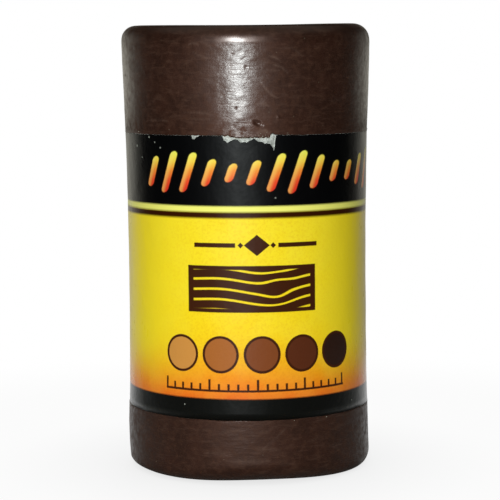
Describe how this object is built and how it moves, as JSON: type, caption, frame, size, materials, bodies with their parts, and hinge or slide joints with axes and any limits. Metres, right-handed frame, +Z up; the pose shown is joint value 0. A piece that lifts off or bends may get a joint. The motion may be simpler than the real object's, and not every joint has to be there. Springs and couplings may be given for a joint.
{
  "type": "furniture repair wax stick",
  "caption": "Short round bar of soft dark brown filler wax with rounded ends, wrapped once in a printed paper label that laps over itself at the back.",
  "frame": {"origin": "centre of the flat base that the stick stands on", "axes": "+Z up the stick's axis to the pour end, -Y out of the label's front, +Y out of the label's lap"},
  "size_m": [0.0196, 0.0196, 0.035],
  "materials": {
    "brown_wax": "soft wax, satin with a faint bloom",
    "label_glue": "clear pressure-sensitive film",
    "printed_paper": "semi-gloss coated print"
  },
  "bodies": {
    "root": {"wax_stick": "brown_wax", "label_adhesive": "label_glue", "paper_label": "printed_paper"}
  },
  "joints": []
}
